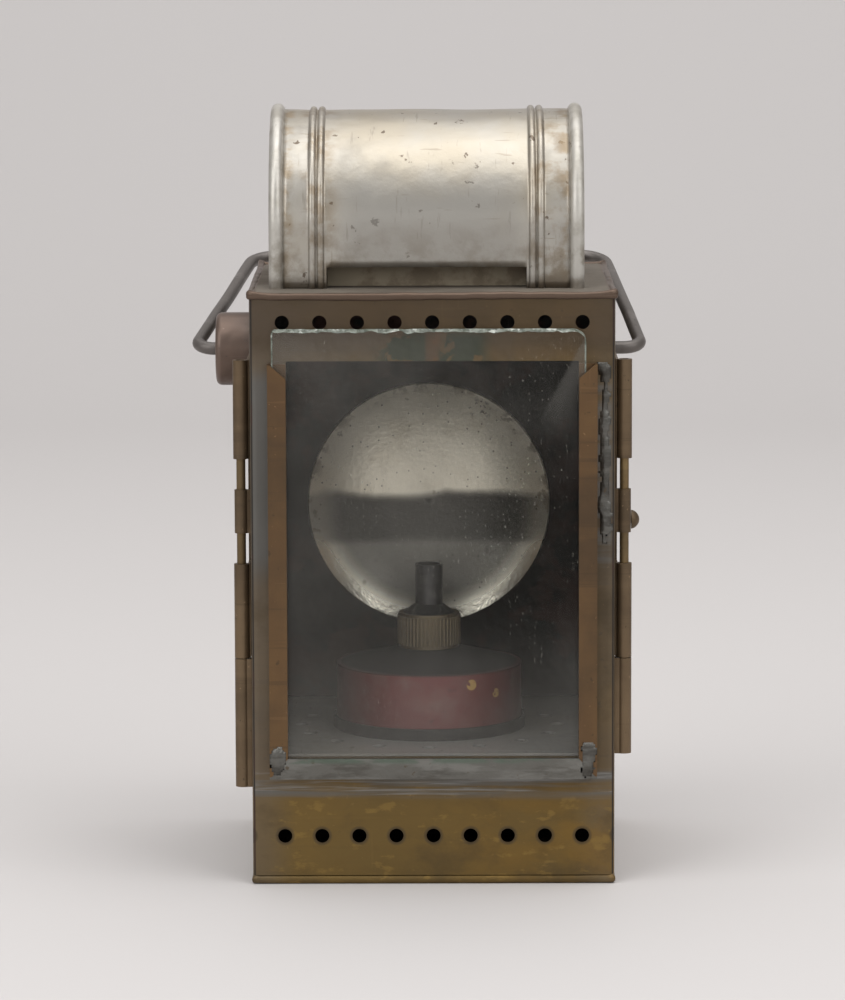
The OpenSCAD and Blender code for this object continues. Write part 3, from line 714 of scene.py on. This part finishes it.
def chipped_finish():
    """Broken edge of the glass: greenish white and rough."""
    finish = Finish("chipped_edge", BROKEN_GLASS, 0.0, 0.22)
    finish.shader.inputs["IOR"].default_value = GLASS_IOR
    finish.tint(finish.clouds(0.40, 0.58, 330, 3, seed=2.1), BROKEN_SHADE, 0.9)
    finish.tint(finish.clouds(0.60, 0.70, 260, 3, seed=7.2), BROKEN_GLINT, 0.9)
    finish.bump(finish.noise(500, 3, seed=4.1), 0.0008)
    return finish.done()


# Roof
ROOF_BRASS = ((0.135, 0.116, 0.094), (0.18, 0.155, 0.125), (0.072, 0.057, 0.043))
ROOF_RIM = (0.105, 0.068, 0.048)
ROOF_RIM_DEPTH = (0.0032, 0.0020)
ROOM_X = (0.0585, 0.0580)
ROOM_Y = (0.0535, 0.0530)
ROOM_TOP_Z = (0.1965, 0.1963)


def roof_finish():
    """Dull brass of the roof with a brown rim, sooty under it."""
    finish = aged_sheet("roof_brass", *ROOF_BRASS, 0.7, 0.2)
    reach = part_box("roof_plate")[1]
    rim_x = finish.along("X", *(reach[0] - depth for depth in ROOF_RIM_DEPTH), both=True)
    rim_y = finish.along("Y", *(reach[1] - depth for depth in ROOF_RIM_DEPTH), both=True)
    rim = finish.math("MAXIMUM", rim_x, rim_y)
    finish.tint(rim, ROOF_RIM, 0.85)
    finish.shift("Metallic", rim, 0.6)
    finish.shift("Roughness", rim, 0.4)
    room = finish.times(finish.along("X", *ROOM_X, both=True), finish.along("Y", *ROOM_Y, both=True))
    finish.soot(finish.times(room, finish.along("Z", *ROOM_TOP_Z)))
    return finish.done()


# Sheets by their colour, warm patina, dark patina and roughness
SHEETS = {
    "door_brass": ((0.142, 0.098, 0.058), (0.188, 0.131, 0.077), (0.080, 0.057, 0.036), 0.38),
    "pin_brass": ((0.20, 0.135, 0.06), (0.27, 0.19, 0.09), (0.10, 0.07, 0.04), 0.35),
    "channel_copper": ((0.118, 0.070, 0.036), (0.152, 0.090, 0.042), (0.066, 0.046, 0.029), 0.38),
    "drum_copper": ((0.138, 0.105, 0.088), (0.190, 0.130, 0.100), (0.085, 0.070, 0.062), 0.36),
    "collar_brass": ((0.15, 0.12, 0.075), (0.20, 0.16, 0.10), (0.05, 0.04, 0.03), 0.4),
}
# Plain pieces by their colour, worn colour, metal share and roughness
PLAIN = {
    "bail_steel": ((0.125, 0.110, 0.100), (0.17, 0.152, 0.14), 0.5, 0.42),
    "burner_steel": ((0.040, 0.040, 0.040), (0.085, 0.08, 0.075), 0.7, 0.42),
    "wick_cotton": ((0.16, 0.13, 0.10), (0.05, 0.04, 0.035), 0.0, 0.9),
}
SHELF_TIN = (0.36, 0.355, 0.33)


def make_finishes():
    """One material for each slot of the record."""
    made = {
        "case_brass": case_finish(),
        "hood_tin": hood_finish(),
        "reflector_tin": reflector_finish(),
        "roof_brass": roof_finish(),
        "shelf_tin": tin_finish("shelf_tin", SHELF_TIN, 0.40, 0.8, 0.6).done(),
        "soldered_sill": sill_finish(),
        "sooty_sheet": smoked_finish(),
        "fount_red": fount_finish(),
        "front_glass": glass_finish(),
    }
    for slot, look in SHEETS.items():
        made[slot] = aged_sheet(slot, *look).done()
    for slot, look in PLAIN.items():
        made[slot] = plain_finish(slot, *look).done()
    return made


# Pieces that replace a plain solid
TIN = 0.0008
BEAD_R = 0.0012
BEAD_PLACES = (-0.0378, -0.0350, 0.0350, 0.0378)
BEAD_STEPS = 8
SLOT_H = 0.007
SLOT_STEPS = 3
SIDE_STEPS = 5
HOOD_STEPS = 60
DENT = 0.0004
DENT_LEAN = 0.2
DENT_SCALE = 45
DENT_FADE_Z = 0.02
DENT_FADE_X = 0.01
SMALL = 1e-6


def hood_skin():
    """Arched hood of thin sheet with its pressed beads, slots under its long edges and shallow dents."""
    low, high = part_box("hood_shell")
    duct_low, duct_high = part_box("chimney_duct")
    middle = (low[0] + high[0]) / 2
    radius = high[1] - BEAD_R
    arch_z = high[2] - BEAD_R - radius
    slot_z = low[2] + SLOT_H
    stations = {low[0], high[0], duct_low[0], duct_high[0]}
    stations.update(low[0] + (high[0] - low[0]) * i / HOOD_STEPS for i in range(HOOD_STEPS + 1))
    half = BEAD_STEPS // 2
    bead_turns = [math.pi * k / BEAD_STEPS for k in range(-half, half + 1)]
    for bead in BEAD_PLACES:
        stations.update(middle + bead + BEAD_R * math.sin(a) for a in bead_turns)
    across = sorted(stations)
    side = [low[2] + SLOT_H * i / SLOT_STEPS for i in range(SLOT_STEPS + 1)]
    side += [slot_z + (arch_z - slot_z) * i / SIDE_STEPS for i in range(1, SIDE_STEPS)]
    turns = [math.pi * i / HOOD_STEPS for i in range(HOOD_STEPS + 1)]
    arch = [(-1, z) for z in side]
    arch += [(-math.cos(a), arch_z + math.sin(a) * radius) for a in turns]
    arch += [(1, z) for z in reversed(side)]
    bm = bmesh.new()
    grid = []
    for x in across:
        lift = 0
        for bead in BEAD_PLACES:
            lift = max(lift, math.sqrt(max(0, BEAD_R ** 2 - (x - middle - bead) ** 2)))
        inward = min(1, (x - low[0]) / DENT_FADE_X, (high[0] - x) / DENT_FADE_X)
        row = []
        for out, z in arch:
            normal = Vector((0, out, max(0, (z - arch_z) / radius)))
            place = Vector((x, out * radius, z))
            fade = min(1, (z - low[2]) / DENT_FADE_Z) * inward
            dent = DENT * fade * (noise.noise(place * DENT_SCALE) - DENT_LEAN)
            row.append(bm.verts.new(place + normal * (lift + dent)))
        grid.append(row)
    for i in range(len(across) - 1):
        in_slot = duct_low[0] <= (across[i] + across[i + 1]) / 2 <= duct_high[0]
        for j in range(len(arch) - 1):
            if in_slot and max(arch[j][1], arch[j + 1][1]) <= slot_z + SMALL:
                continue
            bm.faces.new((grid[i][j], grid[i + 1][j], grid[i + 1][j + 1], grid[i][j + 1]))
    drop_loose(bm)
    bmesh.ops.recalc_face_normals(bm, faces=bm.faces)
    bmesh.ops.solidify(bm, geom=bm.faces[:], thickness=TIN)
    return mesh_object("hood_skin", bm, smooth=True)


def drop_loose(bm):
    """Deletes the points that no face uses."""
    loose = [v for v in bm.verts if not v.link_faces]
    bmesh.ops.delete(bm, geom=loose, context="VERTS")


def round_ring(bm, middle, out, up, radius, sides):
    """Points round one section of a wire or a rolled edge."""
    angles = [2 * math.pi * k / sides for k in range(sides)]
    return [bm.verts.new(middle + (out * math.cos(a) + up * math.sin(a)) * radius) for a in angles]


def join_rings(bm, one, two):
    """Faces between two rings of points."""
    for k in range(len(one)):
        n = (k + 1) % len(one)
        bm.faces.new((one[k], two[k], two[n], one[n]))


# Bail: corners as the place across and the length up the bail, in metres
BAIL_LEAN = math.radians(76)
BAIL_PIVOT_Z = 0.173
BAIL_CORNERS = ((-0.0572, 0), (-0.0805, 0), (-0.0632, 0.095), (0.0608, 0.095), (0.071, 0), (0.0572, 0))
BAIL_BENDS = (0.006, 0.010, 0.010, 0.006)
BEND_STEPS = 12
WIRE_R = 0.00215
WIRE_STEP = 0.004
WIRE_SIDES = 20
KINK = 0.0007
KINK_SCALE = 30
KINK_SEED = 4.5
KINK_START = 0.012
KINK_RISE = 0.02


def bail_path():
    """Points along the middle of the bail: straight runs with a round bend at each corner."""
    corners = [Vector((x, 0, t)) for x, t in BAIL_CORNERS]
    points = [corners[0]]
    for before, corner, after, bend in zip(corners, corners[1:], corners[2:], BAIL_BENDS):
        way_in = (before - corner).normalized()
        way_out = (after - corner).normalized()
        half = way_in.angle(way_out) / 2
        middle = corner + (way_in + way_out).normalized() * bend / math.sin(half)
        start = corner + way_in * bend / math.tan(half) - middle
        end = corner + way_out * bend / math.tan(half) - middle
        for k in range(BEND_STEPS + 1):
            points.append(middle + turned(start, end, k / BEND_STEPS))
    points.append(corners[-1])
    return points


def turned(start, end, share):
    """A vector that turns from start to end by a share of the angle between them."""
    angle = start.angle(end)
    return (start * math.sin((1 - share) * angle) + end * math.sin(share * angle)) / math.sin(angle)


def bail_wire():
    """Round steel wire of the bail, with the small kinks of a wire bent by hand."""
    points = bail_path()
    path = []
    for a, b in zip(points, points[1:]):
        steps = max(1, round((b - a).length / WIRE_STEP))
        path += [a.lerp(b, k / steps) for k in range(steps)]
    path.append(points[-1])
    lean = Vector((0, math.sin(BAIL_LEAN), math.cos(BAIL_LEAN)))
    flat = Vector((0, math.cos(BAIL_LEAN), -math.sin(BAIL_LEAN)))
    spine = []
    for p in path:
        free = min(1, max(0, (p.z - KINK_START) / KINK_RISE))
        kink = KINK * free * noise.noise(Vector((p.x * KINK_SCALE, p.z * KINK_SCALE, KINK_SEED)))
        spine.append(Vector((p.x, 0, BAIL_PIVOT_Z)) + lean * p.z + flat * kink)
    bm = bmesh.new()
    rings = []
    for i, p in enumerate(spine):
        way = (spine[min(i + 1, len(spine) - 1)] - spine[max(i - 1, 0)]).normalized()
        out = way.cross(flat).normalized()
        up = out.cross(way).normalized()
        rings.append(round_ring(bm, p, out, up, WIRE_R, WIRE_SIDES))
    for one, two in zip(rings, rings[1:]):
        join_rings(bm, one, two)
    bm.faces.new(rings[0])
    bm.faces.new(rings[-1])
    return mesh_object("bail_wire", bm, smooth=True)


# Ragged edge of the pane: depths in metres, each with its mean, its spread and, for a chip, its least
PANE_SEAM = 0.0005
PANE_COLUMNS = 200
EDGE_FRACTAL = (0.9, 2.0, 4)
CHIP_SCALE = 220
CHIP_SEED = 3.1
SHELL_SCALE = 160
SHELL_SEED = 8.7
NOTCH_SCALE = 300
NOTCH_SEED = 5.5
NOTCH = (0.0001, 0.00025)
RIDGE = (0.5, 0.25)
FRONT_CHIP = (0.0010, 0.0006, 0.0004)
BACK_CHIP = (0.0005, 0.0005, 0.0002)
RIGHT_BREAK = (0.0050, 0.0036)
LEFT_BREAK = (0.0016, 0.0012)


def edge_noise(x, scale, seed):
    return noise.fractal(Vector((x * scale, seed, 0)), *EDGE_FRACTAL)


def chip_depth(size, rough):
    mean, spread, least = size
    return max(least, mean + spread * rough)


def front_pane(edge_material):
    """Pane of old glass: its upper edge is chipped to a ragged slant, its right corner is broken round."""
    low, high = (Vector(v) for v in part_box("front_glass"))
    bm = bmesh.new()
    columns = []
    for i in range(PANE_COLUMNS + 1):
        x = low.x + (high.x - low.x) * i / PANE_COLUMNS
        chip = edge_noise(x, CHIP_SCALE, CHIP_SEED)
        shell = edge_noise(x, SHELL_SCALE, SHELL_SEED)
        drop = NOTCH[0] + NOTCH[1] * abs(noise.noise(Vector((x * NOTCH_SCALE, NOTCH_SEED, 0))))
        for corner, (reach, fall) in ((high.x, RIGHT_BREAK), (low.x, LEFT_BREAK)):
            share = max(0, 1 - abs(x - corner) / reach)
            drop += fall * (1 - math.sqrt(1 - share ** 2))
        top = high.z - drop
        ridge = low.y + (high.y - low.y) * (RIDGE[0] + RIDGE[1] * shell)
        front = top - chip_depth(FRONT_CHIP, chip)
        back = top - chip_depth(BACK_CHIP, shell)
        rows = ((low.y, low.z), (low.y, front), (ridge, top), (high.y, back), (high.y, low.z))
        columns.append([bm.verts.new((x, y, z)) for y, z in rows])
    for one, two in zip(columns, columns[1:]):
        for k in range(len(one)):
            n = (k + 1) % len(one)
            face = bm.faces.new((one[k], two[k], two[n], one[n]))
            seam = k == 0 and min(one[0].co.x - low.x, high.x - two[0].co.x) < PANE_SEAM
            face.material_index = 1 if seam or k in (1, 2) else 0
    bm.faces.new(columns[0])
    bm.faces.new(columns[-1])
    made = mesh_object("front_pane", bm)
    made.data.materials.append(finishes["front_glass"])
    made.data.materials.append(edge_material)
    return made


# Rolled edges of the roof and the base, bent a little by use
RIM_STEP = 0.0024
RIM_SIDES = 14
RIM_CORNER = 0.009
RIM_SWELL = 0.12
RIM_SWELL_SCALE = 150
RIM_WAVE_SCALE = 45
RIM_FRACTAL = (0.9, 2.0, 3)
ROOF_RIM_DROP = 0.0010
ROOF_RIM_R = 0.0013
BASE_RIM_R = 0.0015


def bent_rim(name, reach, level, radius, wave, flare, seed):
    """A rolled edge round a rectangle of that reach, wavy, with its corners a little turned up."""
    x, y = reach
    corners = [Vector((-x, -y, 0)), Vector((x, -y, 0)), Vector((x, y, 0)), Vector((-x, y, 0))]
    spine = []
    for a, b in zip(corners, corners[1:] + corners[:1]):
        count = round((b - a).length / RIM_STEP)
        spine += [a.lerp(b, k / count) for k in range(count)]
    bm = bmesh.new()
    up = Vector((0, 0, 1))
    rings = []
    for i, p in enumerate(spine):
        way = (spine[(i + 1) % len(spine)] - spine[i - 1]).normalized()
        out = way.cross(up)
        place = p + up * seed
        turned_up = max(0, 1 - min((p - c).length for c in corners) / RIM_CORNER) ** 2
        thick = radius * (1 + RIM_SWELL * noise.noise(place * RIM_SWELL_SCALE))
        lift = wave * noise.fractal(place * RIM_WAVE_SCALE, *RIM_FRACTAL) + flare * turned_up
        middle = p - out * thick + up * max(thick, level + lift)
        rings.append(round_ring(bm, middle, out, up, thick, RIM_SIDES))
    for one, two in zip(rings, rings[1:] + rings[:1]):
        join_rings(bm, one, two)
    return mesh_object(name, bm, smooth=True)


def add_rims():
    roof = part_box("roof_plate")[1]
    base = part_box("base_pan")[1]
    rows = (
        ("roof_rim", roof, roof[2] - ROOF_RIM_DROP, ROOF_RIM_R, 0.0005, 0.0009, "roof_brass", 1.9),
        ("base_rim", base, BASE_RIM_R, BASE_RIM_R, 0.0004, 0.0002, "case_brass", 5.6),
    )
    for name, high, level, radius, wave, flare, slot, seed in rows:
        piece = bent_rim(name, (high[0], high[1]), level, radius, wave, flare, seed)
        piece.data.materials.append(finishes[slot])
        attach(piece, "case")


# Solder: a ragged bead on the case front and lumps over the corners of the sill
SOLDER_STEP = 0.0006
SOLDER_SINK = 0.0002
RAGGED = (0.5, 0.9)
RAGGED_SCALE = (170, 130)
RAGGED_FRACTAL = (0.9, 2.1, 4)
LUMP = (0.75, 0.45)
LUMP_LEAST = 0.3
LUMP_SCALE = (260, 200)
LUMP_FRACTAL = (0.9, 2.0, 3)
LUMP_SEED = 5


def solder_patch(name, low, high, face_y, depth, ragged, seed):
    """A round-cornered lump of solder on an upright face, running out thin and ragged at its outline."""
    count_x = round((high[0] - low[0]) / SOLDER_STEP)
    count_z = round((high[1] - low[1]) / SOLDER_STEP)
    middle = ((low[0] + high[0]) / 2, (low[1] + high[1]) / 2)
    half = ((high[0] - low[0]) / 2, (high[1] - low[1]) / 2)
    radius = min(half)
    bm = bmesh.new()
    verts = {}
    for i in range(count_x + 1):
        for k in range(count_z + 1):
            x = low[0] + i * SOLDER_STEP
            z = low[1] + k * SOLDER_STEP
            past = [max(0, abs(v - m) - h + radius) for v, m, h in zip((x, z), middle, half)]
            place = Vector((x * RAGGED_SCALE[0], seed, z * RAGGED_SCALE[1]))
            wander = RAGGED[0] + RAGGED[1] * noise.fractal(place, *RAGGED_FRACTAL)
            inset = radius - math.hypot(*past) - ragged * wander
            if inset > -SOLDER_STEP:
                swell = math.sin(math.pi / 2 * min(1, max(0, inset) / radius))
                place = Vector((x * LUMP_SCALE[0], seed + LUMP_SEED, z * LUMP_SCALE[1]))
                lump = LUMP[0] + LUMP[1] * noise.fractal(place, *LUMP_FRACTAL)
                height = depth * swell * max(LUMP_LEAST, lump)
                outer = bm.verts.new((x, face_y - height, z))
                inner = bm.verts.new((x, face_y + SOLDER_SINK, z))
                verts[i, k] = (outer, inner)
    outline = set()
    for i, k in verts:
        ring = [(i, k), (i + 1, k), (i + 1, k + 1), (i, k + 1)]
        if all(c in verts for c in ring):
            bm.faces.new([verts[c][0] for c in ring])
            bm.faces.new([verts[c][1] for c in reversed(ring)])
            outline.update(zip(ring, ring[1:] + ring[:1]))
    for a, b in sorted(outline):
        if (b, a) not in outline:
            bm.faces.new((verts[a][0], verts[a][1], verts[b][1], verts[b][0]))
    drop_loose(bm)
    return mesh_object(name, bm, smooth=True)


def add_solder(material):
    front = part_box("case_shell")[0][1]
    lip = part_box("glass_sill")[0][1]
    rows = (
        ("solder_right", (0.0538, 0.1116), (0.0590, 0.1745), front, 0.0009, 0.0022, 2.4),
        ("solder_corner_left", (-0.0540, 0.0364), (-0.0484, 0.0474), lip, 0.0012, 0.0016, 4.9),
        ("solder_corner_right", (0.0486, 0.0364), (0.0542, 0.0486), lip, 0.0012, 0.0016, 6.2),
    )
    for name, low, high, face_y, depth, ragged, seed in rows:
        piece = solder_patch(name, low, high, face_y, depth, ragged, seed)
        piece.data.materials.append(material)
        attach(piece, "case")


add_camera()
add_floor()
add_world()
for lamp in LAMPS:
    add_lamp(*lamp)

finishes = make_finishes()
slot_of = {row["node"]: row["material_slot"] for row in frame["record"]["subparts"]}
for name, piece in nodes.items():
    piece.data.materials.clear()
    piece.data.materials.append(finishes[slot_of[name]])

hood = hood_skin()
hood.data.materials.append(finishes["hood_tin"])
wire = bail_wire()
wire.data.materials.append(finishes["bail_steel"])
pane = front_pane(chipped_finish())
replaced = ((hood, "case", "hood_shell"), (wire, "handle", "bail"), (pane, "glass", "front_glass"))
for piece, body, node in replaced:
    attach(piece, body)
    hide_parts(node)
add_rims()
add_solder(solder_finish("solder", *SOLDER).done())
